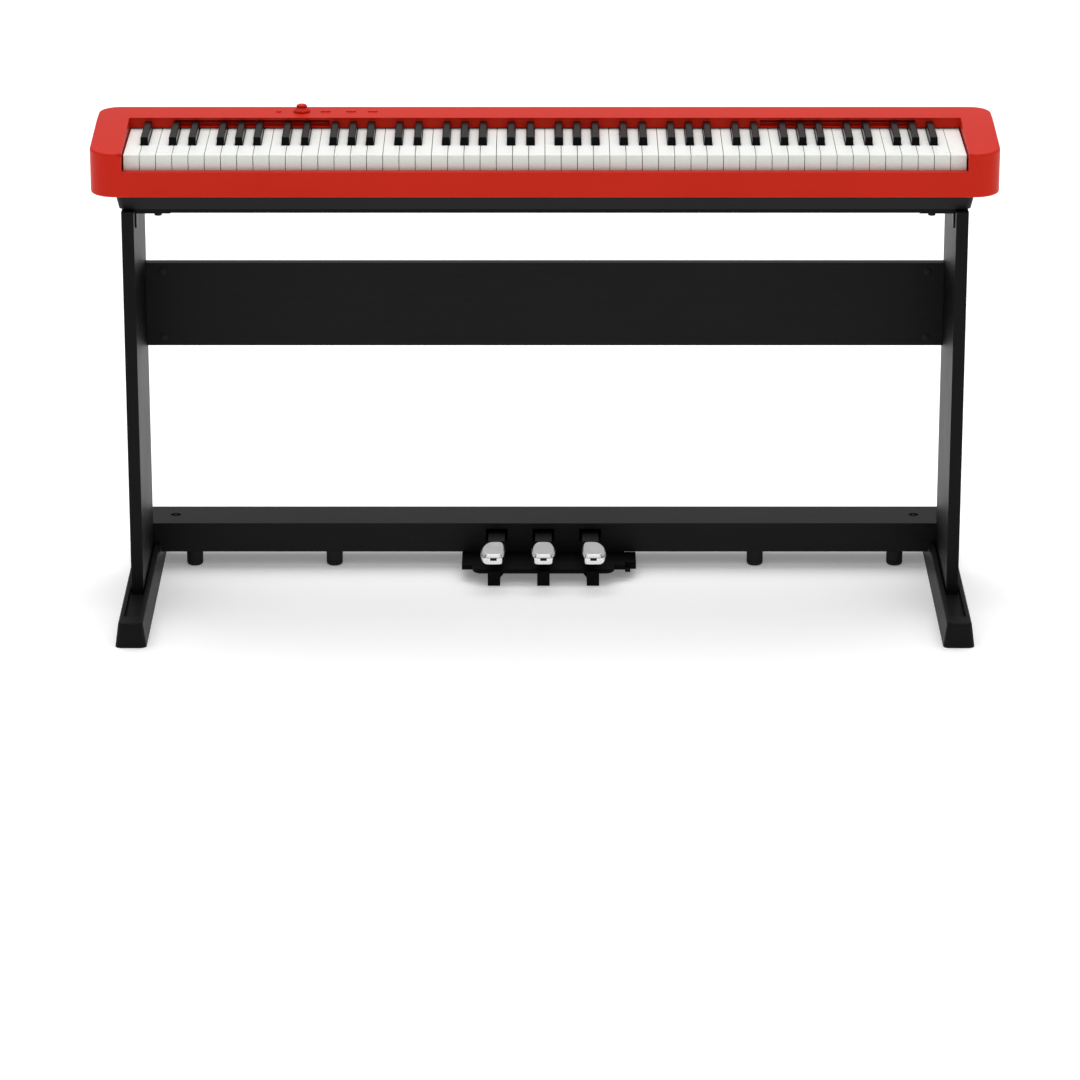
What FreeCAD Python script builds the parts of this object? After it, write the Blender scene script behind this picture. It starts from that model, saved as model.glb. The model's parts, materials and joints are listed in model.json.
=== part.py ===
import FreeCAD, Part
import math
import os
import re
import Sketcher
from FreeCAD import Placement, Rotation, Vector

# Digital piano on a two-legged board stand with a three-pedal unit.
# Millimetres. X runs from bass to treble, Y from the player to the back,
# Z up from the floor. The origin is the centre of the footprint on the floor.

doc = FreeCAD.newDocument("digital_piano")

DIMENSIONS = {
    # keyboard unit
    "body_width": 1322, "body_depth": 232, "body_front": -90,
    "front_corner": 38, "rear_corner": 31, "case_wall": 3,
    "case_bottom": 645, "panel_top": 722, "cheek_top": 710,
    "top_edge_round": 4, "bottom_edge_round": 2.5,
    "fascia_front": 74, "well_half": 613, "well_floor": 665,
    "rail_top": 683, "rail_depth": 12, "fascia_bottom": 707,
    "slot_near": 317, "slot_far": 546, "slot_bottom": 709, "slot_top": 718.5,
    "louver_height": 5, "louver_reach": 7, "louver_thickness": 2, "part_gap": 0.3,
    "tray_half": 625, "tray_front": -73, "tray_rear": 135, "tray_bottom": 622,
    "tray_taper": 12, "tray_corner": 10,
    # keys
    "key_pitch": 23.5, "key_gap": 1, "key_top": 705, "key_front": -76,
    "key_rear": 131, "key_thickness": 12, "lip_height": 23.5, "lip_depth": 2.5,
    "key_edge": 0.6, "notch_front": -22, "sharp_width": 11, "sharp_front": -21,
    "sharp_rise": 12, "sharp_slope": 4, "sharp_rear": 73, "sharp_edge": 1.6,
    "sharp_pair": 2.4, "sharp_triple": 3.2, "hollow_depth": 9, "hollow_wall": 2,
    "pivot_depth": 125, "pivot_height": 698, "rod_radius": 1.5,
    "running_gap": 0.05,
    "boss_radius": 4, "screw_radius": 1.5, "screw_head": 3.4, "screw_head_height": 2.2,
    "screw_length": 14, "vent_width": 3, "vent_length": 44, "vent_pitch": 12,
    "post_radius": 7, "post_height": 14, "mouth_ledge": 8,
    # inside the keyboard unit
    "stop_width": 10, "bearing_width": 6, "bearing_depth": 16,
    "contact_width": 30, "contact_front": 30, "main_board_length": 220,
    "main_board_width": 90, "main_board_front": -10, "standoff_radius": 3,
    "panel_board_length": 190, "panel_board_width": 28, "panel_board_start": -410,
    "pot_radius": 7, "pot_height": 7, "speaker_flange": 2, "cone_height": 9,
    "magnet_height": 9, "socket_barrel": 14, "socket_wall": 2, "socket_floor": 2,
    "chassis_half": 630, "chassis_floor": 648, "plate_thickness": 3,
    "stop_height": 680, "felt_thickness": 3, "rod_half": 621,
    "board_thickness": 1.6, "contact_board_height": 672, "dome_radius": 3.5,
    "dome_height": 9, "main_board_height": 632, "panel_board_height": 708,
    "speaker_offset": 437, "speaker_depth": 45, "speaker_half_length": 78,
    "speaker_half_width": 34, "magnet_radius": 20,
    # panel controls
    "knob_offset": -360, "control_depth": 110, "knob_radius": 7.5,
    "knob_skirt": 12.5, "knob_height": 11, "shaft_radius": 3,
    "power_offset": -394, "power_radius": 4, "button_length": 14,
    "button_width": 5, "button_rise": 1.4, "button_depth": 6, "knob_gap": 0.5,
    "skirt_height": 3, "shoulder_height": 6, "shoulder_step": 1.2,
    # stand
    "leg_inner": 598, "leg_thickness": 18, "leg_front": -80, "leg_rear": 130,
    "leg_top": 620, "leg_bottom": 30, "board_edge": 1.5,
    "panel_thickness": 17, "panel_bottom": 359, "panel_crest": 488,
    "foot_half_length": 228, "foot_base": 46, "foot_crown": 36, "foot_crest": 4,
    "notch_low": 20.6, "notch_high": 18.6,
    "foot_height": 38, "foot_centre": 607, "foot_corner": 9, "trough_front": -197,
    "beam_depth": 80, "beam_half": 615, "beam_bottom": 24, "beam_top": 70, "beam_board": 12,
    "beam_skin": 9, "peg_radius": 12.5, "peg_far": 536, "peg_near": 322,
    "rail_width": 40, "rail_thickness": 6, "rail_front": -60, "rail_second": 60,
    "bracket_reach": 52, "bracket_drop": 24, "bracket_width": 30,
    "bracket_thickness": 2.5, "bolt_radius": 3, "bolt_offset": 565,
    "grip_radius": 5.5, "grip_height": 6,
    "pad_offset": 500, "pad_radius": 9, "cam_offset": 566, "cam_radius": 7.5,
    "cap_offset": 573, "cap_radius": 5.5, "cap_rise": 1.2, "cap_low": 372, "cap_high": 475,
    # pedal unit
    "pedal_centre": -2, "pedal_spacing": 71.5,
    "paddle_splay": 5, "nose_splay": 4,
    "arm_width": 25, "arm_thickness": 6, "arm_bottom": 49.5,
    "arm_front": 74, "pedal_pivot": 180, "pedal_rod": 3, "hub_radius": 6.5,
    "paddle_front": 22, "paddle_rear": 80, "paddle_width": 37,
    "paddle_nose": 26, "paddle_top": 59, "paddle_tip": 56, "paddle_lip": 40,
    "plate_half": 124, "plate_front": 50, "plate_bottom": 16, "plate_corner": 14,
    "plate_step": 16, "plate_shoulder": 68,
    "post_width": 19, "post_front": 41, "post_rear": 75, "post_spacing": 75,
    "post_web": 5, "post_web_drop": 6,
    "bearing_half": 108, "bearing_thickness": 4, "spring_depth": 160,
    "spring_radius": 4.2, "spring_wire": 0.6, "spring_pitch": 4.25,
}

sizes = doc.addObject("Spreadsheet::Sheet", "sizes")
for row, (alias, value) in enumerate(DIMENSIONS.items(), start=1):
    sizes.set(f"A{row}", alias)
    sizes.set(f"B{row}", str(value))
    sizes.setAlias(f"B{row}", alias)
doc.recompute()

parts = {}


def linked(text):
    """Turn the plain names in a formula into spreadsheet references."""
    return re.sub(r"[a-z_]+", lambda m: "sizes." + m.group(0)
                  if m.group(0) in DIMENSIONS else m.group(0), str(text))


def bind(item, formulas):
    for path, text in formulas.items():
        item.setExpression(path, linked(text))


def place(item, corner):
    bind(item, {f"Placement.Base.{axis}": text for axis, text in zip("xyz", corner)})
    return item


def keep(name, item):
    """Give a finished sub-part its own label, which also names its file."""
    item.Label = name
    parts[name] = item
    return item


def box(size, corner):
    item = doc.addObject("Part::Box", "block")
    bind(item, dict(zip(("Length", "Width", "Height"), size)))
    return place(item, corner)


def cylinder(radius, height, start, axis="z"):
    turns = {"z": Rotation(), "x": Rotation(Vector(0, 1, 0), 90),
             "y": Rotation(Vector(1, 0, 0), -90)}
    item = doc.addObject("Part::Cylinder", "round")
    item.Placement = Placement(Vector(), turns[axis])
    bind(item, {"Radius": radius, "Height": height})
    return place(item, start)


def cut(base, tool):
    item = doc.addObject("Part::Cut", "cut")
    item.Base = base
    item.Tool = tool
    return item


def common(base, tool):
    item = doc.addObject("Part::Common", "common")
    item.Base = base
    item.Tool = tool
    return item


def fuse(*items):
    item = doc.addObject("Part::MultiFuse", "joined")
    item.Shapes = list(items)
    return item


def group(items):
    item = doc.addObject("Part::Compound", "group")
    item.Links = list(items)
    return item


def rounded(base, radius, test):
    """Round the edges of a plain solid whose middle point passes the test."""
    doc.recompute()
    item = doc.addObject("Part::Fillet", "rounded")
    item.Base = base
    item.Edges = [(number, radius, radius)
                  for number, edge in enumerate(base.Shape.Edges, start=1)
                  if test(edge)]
    return item


def new_body(name):
    return doc.addObject("PartDesign::Body", name)


def draw(body, plane, points, offset="0"):
    """Closed outline through points whose coordinates are formulas."""
    sketch = body.newObject("Sketcher::SketchObject", "outline")
    support = [f for f in body.Origin.OriginFeatures if f.Role == plane][0]
    sketch.AttachmentSupport = [(support, "")]
    sketch.MapMode = "FlatFace"
    bind(sketch, {"AttachmentOffset.Base.z": offset})
    count = len(points)
    start = [Vector(math.cos(math.tau * n / count), math.sin(math.tau * n / count), 0)
             for n in range(count)]
    for n in range(count):
        sketch.addGeometry(Part.LineSegment(start[n], start[(n + 1) % count]), False)
    for n in range(count):
        sketch.addConstraint(Sketcher.Constraint("Coincident", n, 2, (n + 1) % count, 1))
    for n, point in enumerate(points):
        for kind, size, text in (("DistanceX", start[n].x, point[0]),
                                 ("DistanceY", start[n].y, point[1])):
            number = sketch.addConstraint(
                Sketcher.Constraint(kind, -1, 1, n, 1, size))
            bind(sketch, {f"Constraints[{number}]": text})
    return sketch


def draw_circle(body, plane, radius, centre, offset="0"):
    sketch = body.newObject("Sketcher::SketchObject", "circle")
    support = [f for f in body.Origin.OriginFeatures if f.Role == plane][0]
    sketch.AttachmentSupport = [(support, "")]
    sketch.MapMode = "FlatFace"
    bind(sketch, {"AttachmentOffset.Base.z": offset})
    sketch.addGeometry(Part.Circle(Vector(1, 1, 0), Vector(0, 0, 1), 1), False)
    for kind, text in (("DistanceX", centre[0]), ("DistanceY", centre[1])):
        number = sketch.addConstraint(Sketcher.Constraint(kind, -1, 1, 0, 3, 1))
        bind(sketch, {f"Constraints[{number}]": text})
    number = sketch.addConstraint(Sketcher.Constraint("Radius", 0, 1))
    bind(sketch, {f"Constraints[{number}]": radius})
    return sketch


def pad(body, sketch, length, reverse=False, taper=None):
    feature = body.newObject("PartDesign::Pad", "pad")
    feature.Profile = sketch
    bind(feature, {"Length": length})
    feature.Reversed = reverse
    if taper:
        bind(feature, {"TaperAngle": taper})
    doc.recompute()
    return feature


def pocket(body, sketch, length, reverse=False):
    """Cut into the body along the sketch's normal, and prove that it cut."""
    before = body.Shape.Volume
    feature = body.newObject("PartDesign::Pocket", "pocket")
    feature.Profile = sketch
    bind(feature, {"Length": length})
    feature.Reversed = reverse
    doc.recompute()
    if body.Shape.Volume > before - 1e-6:
        raise ValueError(f"pocket in {body.Name} cuts nothing")
    return feature


def soften(body, radius, test, kind="PartDesign::Fillet"):
    """Round or bevel the body's edges that pass the test."""
    doc.recompute()
    base = body.Tip
    names = [f"Edge{number}" for number, edge in enumerate(base.Shape.Edges, start=1)
             if test(edge)]
    feature = body.newObject(kind, "soft_edges")
    feature.Base = (base, names)
    bind(feature, {"Radius" if kind.endswith("Fillet") else "Size": radius})
    doc.recompute()
    return feature


def middle(edge):
    return edge.valueAt((edge.FirstParameter + edge.LastParameter) / 2)


def runs_along(edge, axis):
    if not isinstance(edge.Curve, Part.Line):
        return False
    return abs(getattr(edge.Curve.Direction, axis)) > 0.999


def rectangle(low_x, low_y, high_x, high_y):
    return [(low_x, low_y), (high_x, low_y), (high_x, high_y), (low_x, high_y)]


# Red upper case
def case_block(name, inset, floor):
    """Rounded block with the sloping cheek tops, smaller by inset all round."""
    body = new_body(name)
    half = f"body_width / 2 - {inset}"
    front = f"body_front + {inset}"
    top = f"panel_top - {inset}"
    plan = draw(body, "XY_Plane", rectangle(f"-({half})", front, half,
                f"body_front + body_depth - {inset}"), floor)
    pad(body, plan, f"{top} - {floor}")
    soften(body, f"front_corner - {inset}",
           lambda e: runs_along(e, "z") and middle(e).y < 0)
    soften(body, f"rear_corner - {inset}",
           lambda e: runs_along(e, "z") and middle(e).y > 100)
    slope = draw(body, "YZ_Plane", [
        ("body_front - 5", f"cheek_top - {inset} - 5 * (panel_top - cheek_top) / "
         "(fascia_front - body_front)"),
        ("fascia_front", top), ("fascia_front", "panel_top + 5"),
        ("body_front - 5", "panel_top + 5")], "-body_width / 2 - 5")
    pocket(body, slope, "body_width + 10", reverse=True)
    return body


def on_top_rim(edge):
    """True for the edges round the outside of the sloping top."""
    if not runs_along(edge, "x"):
        return edge.CenterOfMass.z > sizes.cheek_top - 3
    near_front = middle(edge).y < sizes.body_front + 10
    near_back = middle(edge).y > sizes.tray_rear - 5
    return (near_front or near_back) and middle(edge).z > sizes.key_top - 5


def make_upper_case():
    outer = case_block("case_outside", "0", "case_bottom")
    soften(outer, "top_edge_round", on_top_rim)
    soften(outer, "bottom_edge_round", lambda e: e.CenterOfMass.z < sizes.case_bottom + 0.1)
    inner = case_block("case_inside", "case_wall", "case_bottom - 1")
    shell = cut(outer, inner)
    well_block = box(("2 * (well_half + case_wall)", "fascia_front + case_wall - body_front",
                      "panel_top - well_floor"),
                     ("-(well_half + case_wall)", "body_front", "well_floor"))
    shell = fuse(shell, common(well_block, outer), *case_bosses())
    well = box(("2 * well_half", "fascia_front - body_front - rail_depth", "200"),
               ("-well_half", "body_front + rail_depth", "well_floor - 50"))
    above_rail = box(("2 * well_half", "rail_depth + 20", "100"),
                     ("-well_half", "body_front - 5", "rail_top"))
    behind_keys = box(("2 * (well_half - 1)", "case_wall + 20",
                       "fascia_bottom - well_floor + 50"),
                      ("-(well_half - 1)", "fascia_front - 5", "well_floor - 50"))
    openings = [well, above_rail, behind_keys]
    for side in (-1, 1):
        near = "slot_near" if side > 0 else "-slot_far"
        openings.append(box(("slot_far - slot_near", "case_wall + 2",
                             "slot_top - slot_bottom"),
                            (near, "fascia_front - 1", "slot_bottom")))
    openings.append(cylinder("shaft_radius + 1", "20",
                             ("knob_offset", "control_depth", "panel_top - 10")))
    openings.append(cylinder("power_radius + part_gap", "20",
                             ("power_offset", "control_depth", "panel_top - 10")))
    for offset in BUTTON_OFFSETS.values():
        openings.append(box(("button_length + 2 * part_gap",
                             "button_width + 2 * part_gap", "20"),
                            (f"{offset} - button_length / 2 - part_gap",
                             "control_depth - button_width / 2 - part_gap",
                             "panel_top - 10")))
    for x, radius in SOCKETS.items():
        openings.append(cylinder(radius, "case_wall + 4",
                                 (x, "body_front + body_depth - case_wall - 2",
                                  SOCKET_HEIGHT), "y"))
    for x, y in boss_places():
        openings.append(cylinder("screw_radius", "screw_length + 2", (x, y, "case_bottom")))
    keep("upper_case", cut(shell, fuse(*openings)))


BUTTON_OFFSETS = {"metronome_button": -325, "voice_button": -287, "song_button": -255}
SOCKETS = {"-120": "5.6", "-70": "4.2", "-30": "3.3", "10": "3.3"}
SOCKET_HEIGHT = "676"


def boss_places():
    """Eight case screws, four down each side of the case."""
    return [(side + "(tray_half + tray_taper)", y) for side in ("-", "")
            for y in BOSS_TOPS]


# Height of the screw boss at each depth, just inside the sloping top.
BOSS_TOPS = {"-50": "705", "20": "714", "80": "720", "120": "720"}


def case_bosses():
    start = "(case_bottom + case_wall + part_gap)"
    return [cylinder("boss_radius", f"{BOSS_TOPS[y]} - {start}", (x, y, start))
            for x, y in boss_places()]


# Black lower case
def tray_block(name, inset, depth):
    body = new_body(name)
    plan = draw(body, "XY_Plane", rectangle(
        f"-(tray_half - {inset})", f"tray_front + {inset}",
        f"tray_half - {inset}", f"tray_rear - {inset}"), "case_bottom")
    pad(body, plan, depth, reverse=True, taper="-tray_taper")
    soften(body, "tray_corner", lambda e: abs(e.Vertexes[0].Z - e.Vertexes[-1].Z) > 5)
    return body


def make_lower_case():
    flange = new_body("flange")
    inset = "(case_wall + part_gap)"
    plan = draw(flange, "XY_Plane", rectangle(
        f"-(body_width / 2 - {inset})", f"body_front + {inset}",
        f"body_width / 2 - {inset}", f"body_front + body_depth - {inset}"), "case_bottom")
    pad(flange, plan, "case_wall")
    soften(flange, f"front_corner - {inset}",
           lambda e: runs_along(e, "z") and middle(e).y < 0)
    soften(flange, f"rear_corner - {inset}",
           lambda e: runs_along(e, "z") and middle(e).y > 100)
    outside = tray_block("tray_outside", "0", "case_bottom - tray_bottom")
    inside = tray_block("tray_inside", "case_wall", "case_bottom - tray_bottom - case_wall")
    ledge = "(case_wall + mouth_ledge)"
    mouth = box((f"2 * (tray_half - {ledge})", f"tray_rear - tray_front - 2 * {ledge}", "10"),
                (f"-(tray_half - {ledge})", f"tray_front + {ledge}", "case_bottom - 1"))
    posts = [cylinder("post_radius", "post_height", (x, y, "tray_bottom + case_wall - 1"))
             for x, y in bolt_places()]
    holes = [cylinder("bolt_radius", "30", (x, y, "tray_bottom - 2"))
             for x, y in bolt_places()]
    for x, y in boss_places():
        holes.append(cylinder("screw_radius", "10", (x, y, "case_bottom - 2")))
    for side in (-1, 1):
        for step in range(-4, 5):
            centre = f"{side} * speaker_offset + {step} * vent_pitch"
            holes.append(box(("vent_width", "vent_length", "10"),
                             (f"{centre} - vent_width / 2",
                              "speaker_depth - vent_length / 2", "tray_bottom - 2")))
    tray = fuse(cut(outside, inside), *posts)
    whole = fuse(cut(flange, fuse(inside, mouth)), tray)
    keep("lower_case", cut(whole, fuse(*holes)))


def bolt_places():
    """Four thumb bolts hold the keyboard unit to the stand's rails."""
    return [(side + "bolt_offset", f"{rail} + rail_width / 2")
            for side in ("-", "") for rail in ("rail_front", "rail_second")]


# Keys
WHITE_COUNT = 52
# Shift of each black key from the joint between its two white neighbours,
# by the white key on its left, in the octave C D E F G A B.
SHARP_SHIFT = {0: "-sharp_pair", 1: "sharp_pair", 3: "-sharp_triple",
               4: "0", 5: "sharp_triple"}
LETTERS = "cdefgab"
FIRST_C = 2            # the third white key from the left is the lowest C
MIDDLE_OCTAVE = 3      # octaves of C below middle C


def white_x(index):
    return f"key_pitch * {index - WHITE_COUNT // 2}"


def sharp_x(index, step):
    return f"({white_x(index + 1)} + ({SHARP_SHIFT[step]}))"


def bore(body, centre_x, width):
    ring = draw_circle(body, "YZ_Plane", "rod_radius + running_gap",
                       ("pivot_depth", "pivot_height"), f"{centre_x} - {width}")
    pocket(body, ring, f"2 * {width}", reverse=True)


def make_white_key(name, index, sharp_left, sharp_right):
    """Top plate with its notches, front lip, hollow underside and pivot bore."""
    step = (index - FIRST_C) % 7
    body = new_body(name)
    left = f"({white_x(index)} + key_gap / 2)"
    right = f"({white_x(index + 1)} - key_gap / 2)"
    plan = [(left, "key_front"), (right, "key_front")]
    room = "(sharp_width / 2 + key_gap)"
    if sharp_right:
        edge = f"{sharp_x(index, step)} - {room}"
        plan += [(right, "notch_front"), (edge, "notch_front"), (edge, "key_rear")]
    else:
        plan += [(right, "key_rear")]
    if sharp_left:
        edge = f"{sharp_x(index - 1, (step - 1) % 7)} + {room}"
        plan += [(edge, "key_rear"), (edge, "notch_front"), (left, "notch_front")]
    else:
        plan += [(left, "key_rear")]
    pad(body, draw(body, "XY_Plane", plan, "key_top - key_thickness"), "key_thickness")
    lip = draw(body, "XY_Plane", rectangle(left, "key_front", right,
               "key_front + lip_depth"), "key_top - lip_height")
    pad(body, lip, "lip_height")
    hollow = draw(body, "XY_Plane", rectangle(
        f"{left} + hollow_wall", "key_front + lip_depth", f"{right} - hollow_wall",
        "notch_front - hollow_wall"), "key_top - key_thickness")
    pocket(body, hollow, "hollow_depth", reverse=True)
    bore(body, left, "key_pitch")
    soften(body, "key_edge", lambda e: runs_along(e, "x")
           and middle(e).z > sizes.key_top - 0.01 and middle(e).y < sizes.key_front + 0.1)
    return body


def make_black_key(name, index, step):
    body = new_body(name)
    side = draw(body, "YZ_Plane", [
        ("sharp_front", "key_top - key_thickness"), ("sharp_front", "key_top + 1"),
        ("sharp_front + sharp_slope", "key_top + sharp_rise - 0.5"),
        ("sharp_rear", "key_top + sharp_rise"), ("sharp_rear", "key_top - 0.5"),
        ("key_rear", "key_top - 0.5"), ("key_rear", "key_top - key_thickness")],
        f"{sharp_x(index, step)} - sharp_width / 2")
    pad(body, side, "sharp_width")
    bore(body, sharp_x(index, step), "sharp_width")
    top = sizes.key_top + sizes.sharp_rise - 1
    soften(body, "sharp_edge", lambda e: middle(e).z > top
           and middle(e).y < sizes.sharp_rear - 1)
    return body


def has_sharp(index):
    """True where a black key sits to the right of this white key."""
    return (index - FIRST_C) % 7 in SHARP_SHIFT and index < WHITE_COUNT - 1


def make_keys():
    """Middle octave as single moving keys, the rest in four groups."""
    start = FIRST_C + 7 * MIDDLE_OCTAVE
    whites = {}
    blacks = {}
    for step, letter in enumerate(LETTERS):
        index = start + step
        whites[step] = keep(f"{letter}_key", make_white_key(
            f"{letter}_key", index, has_sharp(index - 1), has_sharp(index)))
        if step in SHARP_SHIFT:
            blacks[step] = keep(f"{letter}_sharp_key", make_black_key(
                f"{letter}_sharp_key", index, step))
    lowest = make_white_key("lowest_key", 0, False, True)
    highest = make_white_key("highest_key", WHITE_COUNT - 1, False, False)
    doc.recompute()

    def copies(source, indices):
        made = []
        for index in indices:
            step = (index - FIRST_C) % 7
            if step not in source:
                continue
            shape = source[step].Shape.copy()
            shape.translate(Vector((index - start - step) * sizes.key_pitch, 0, 0))
            made.append(shape)
        return made

    below = range(1, start)
    above = range(start + 7, WHITE_COUNT - 1)
    groups = {
        "bass_white_keys": [lowest.Shape.copy()] + copies(whites, below),
        "bass_black_keys": copies(blacks, range(0, start)),
        "treble_white_keys": copies(whites, above) + [highest.Shape.copy()],
        "treble_black_keys": copies(blacks, above),
    }
    for name, shapes in groups.items():
        item = doc.addObject("Part::Feature", name)
        item.Shape = Part.makeCompound(shapes)
        item.Placement = Placement()
        keep(name, item)


# Parts inside the keyboard unit
def make_key_bed():
    """Chassis plate with stop rails and rod bearings, the rod, felts and contacts."""
    plate = box(("2 * chassis_half", "tray_rear - body_front - 8", "plate_thickness"),
                ("-chassis_half", "body_front + 10", "chassis_floor"))
    stops = [box(("2 * well_half - 8", "stop_width", "stop_height - chassis_floor"),
                 ("-(well_half - 4)", y, "chassis_floor")) for y in STOP_PLACES]
    bearings = [box(("bearing_width", "bearing_depth", "pivot_height + 6 - chassis_floor"),
                    (x, "pivot_depth - bearing_depth / 2", "chassis_floor"))
                for x in ("-rod_half", "rod_half - bearing_width")]
    rod_hole = cylinder("rod_radius", "2 * rod_half + 2",
                        ("-rod_half - 1", "pivot_depth", "pivot_height"), "x")
    keep("key_chassis", cut(fuse(plate, *stops, *bearings), rod_hole))
    keep("key_pivot_rod", cylinder("rod_radius", "2 * rod_half",
                                   ("-rod_half", "pivot_depth", "pivot_height"), "x"))
    keep("key_stop_felts", group(
        [box(("2 * well_half - 8", "stop_width", "felt_thickness"),
             ("-(well_half - 4)", y, "stop_height")) for y in STOP_PLACES]))


STOP_PLACES = ("-66", "-14")


def make_contact_board():
    """Circuit strip with a rubber dome under every white key."""
    strip = box(("2 * well_half - 16", "contact_width", "board_thickness"),
                ("-(well_half - 8)", "contact_front", "contact_board_height"))
    legs = [box(("8", "20", "contact_board_height - chassis_floor - plate_thickness"),
                (x, "35", "chassis_floor + plate_thickness"))
            for x in ("-(well_half - 12)", "-4", "well_half - 20")]
    domes = [cylinder("dome_radius", "dome_height + 1",
                      (f"{white_x(index)} + key_pitch / 2",
                       "contact_front + contact_width / 2", "contact_board_height"))
             for index in range(WHITE_COUNT)]
    keep("contact_board", fuse(strip, *legs, *domes))


def make_boards():
    main = box(("main_board_length", "main_board_width", "board_thickness"),
               ("-main_board_length / 2", "main_board_front", "main_board_height"))
    chips = [box((w, d, h), (x, y, "main_board_height")) for x, y, w, d, h in (
        ("-80", "10", "24", "24", "4"), ("-20", "20", "18", "12", "4"),
        ("30", "5", "14", "20", "4"), ("70", "40", "10", "10", "11"),
        ("85", "40", "10", "10", "11"))]
    standoffs = [cylinder("standoff_radius", "main_board_height - tray_bottom - case_wall",
                          (x, y, "tray_bottom + case_wall"))
                 for x in ("-100", "100") for y in ("0", "70")]
    keep("main_board", fuse(main, *chips, *standoffs))
    panel = box(("panel_board_length", "panel_board_width", "board_thickness"),
                ("panel_board_start", "control_depth - panel_board_width / 2",
                 "panel_board_height"))
    keep("panel_board", cut(panel, cylinder(
        "pot_radius", "10", ("knob_offset", "control_depth", "panel_board_height - 4"))))
    pot = cylinder("pot_radius", "pot_height",
                   ("knob_offset", "control_depth", "panel_board_height"))
    keep("volume_pot", cut(pot, cylinder(
        "shaft_radius + running_gap", "20",
        ("knob_offset", "control_depth", "panel_board_height + 1"))))


def make_speakers():
    """Oval drivers that face down through the tray's slots."""
    floor = "tray_bottom + case_wall"
    for name, side in (("left_speaker", "-"), ("right_speaker", "")):
        body = new_body(name)
        pad(body, draw(body, "XY_Plane", rectangle(
            "-speaker_half_length", "-speaker_half_width",
            "speaker_half_length", "speaker_half_width")), "speaker_flange")
        soften(body, "speaker_half_width - 1", lambda e: runs_along(e, "z"))
        cone = draw(body, "XY_Plane", rectangle(
            "-speaker_half_length + 10", "-speaker_half_width + 6",
            "speaker_half_length - 10", "speaker_half_width - 6"), "speaker_flange")
        pad(body, cone, "cone_height", taper="-50")
        pad(body, draw_circle(body, "XY_Plane", "magnet_radius", ("0", "0"),
                              "cone_height"), "magnet_height")
        place(body, (side + "speaker_offset", "speaker_depth", floor))
        keep(name, body)


def make_grilles():
    """A ledge and upstand behind each sound slot, fixed to the fascia's back face."""
    bars = []
    start = "fascia_front + case_wall"
    for side in (-1, 1):
        low = "slot_near" if side > 0 else "-slot_far"
        ledge = box(("slot_far - slot_near", "louver_reach", "slot_bottom - fascia_bottom"),
                    (low, start, "fascia_bottom"))
        upstand = box(("slot_far - slot_near", "louver_thickness",
                       "slot_bottom - fascia_bottom + louver_height"),
                      (low, f"{start} + louver_reach - louver_thickness", "fascia_bottom"))
        bars.append(fuse(ledge, upstand))
    keep("speaker_grilles", group(bars))


def above_panel(edge):
    return edge.CenterOfMass.z > sizes.panel_top + 1


def make_controls():
    knob = new_body("volume_knob")
    low = "(panel_board_height + 2)"
    profile = draw(knob, "XZ_Plane", [
        ("0", low), ("shaft_radius", low), ("shaft_radius", "panel_top + knob_gap"),
        ("knob_skirt", "panel_top + knob_gap"), ("knob_skirt", "panel_top + skirt_height"),
        ("knob_radius + shoulder_step", "panel_top + shoulder_height"),
        ("knob_radius", "panel_top + knob_height"),
        ("0", "panel_top + knob_height")])
    turn = knob.newObject("PartDesign::Revolution", "turned")
    turn.Profile = profile
    turn.ReferenceAxis = (profile, ["V_Axis"])
    turn.Angle = 360
    soften(knob, "1.2", lambda e: e.CenterOfMass.z > sizes.panel_top
           + sizes.knob_height - 0.1 and e.Length > 20)
    place(knob, ("knob_offset", "control_depth", "0"))
    keep("volume_knob", knob)
    power = cylinder("power_radius", "button_depth + button_rise",
                     ("power_offset", "control_depth", "panel_top - button_depth"))
    keep("power_button", rounded(power, 0.6, above_panel))
    for name, offset in BUTTON_OFFSETS.items():
        cap = box(("button_length", "button_width", "button_depth + button_rise"),
                  (f"{offset} - button_length / 2", "control_depth - button_width / 2",
                   "panel_top - button_depth"))
        cap = rounded(cap, 2.2, lambda e: runs_along(e, "z"))
        keep(name, rounded(cap, 0.5, above_panel))


def make_sockets():
    """Power, headphone and two line sockets along the back wall."""
    items = []
    for x, radius in SOCKETS.items():
        start = "body_front + body_depth - case_wall"
        barrel = cylinder(f"{radius} + socket_wall", "socket_barrel",
                          (x, f"{start} - socket_barrel", SOCKET_HEIGHT), "y")
        items.append(cut(barrel, cylinder(
            f"{radius} - 0.6", "socket_barrel - 1",
            (x, f"{start} - socket_barrel + socket_floor", SOCKET_HEIGHT), "y")))
    keep("rear_sockets", group(items))


def make_case_fixings():
    pads = [cylinder("pad_radius", "tray_bottom - leg_top",
                     (side + "pad_offset", f"{rail} + rail_width / 2", "leg_top"))
            for side in ("-", "") for rail in ("rail_front", "rail_second")]
    keep("rest_pads", group(pads))
    screws = [fuse(cylinder("screw_head", "screw_head_height",
                            (x, y, "case_bottom - screw_head_height")),
                   cylinder("screw_radius", "screw_length", (x, y, "case_bottom - 1")))
              for x, y in boss_places()]
    keep("case_screws", group(screws))


# Stand
def make_leg(name, side):
    low = "leg_inner" if side > 0 else "-(leg_inner + leg_thickness)"
    body = new_body(name)
    plan = draw(body, "XY_Plane", rectangle(
        low, "leg_front", f"{low} + leg_thickness", "leg_rear"), "leg_bottom")
    pad(body, plan, "leg_top - leg_bottom")
    soften(body, "board_edge", lambda e: runs_along(e, "z"))
    keep(name, body)


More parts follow.
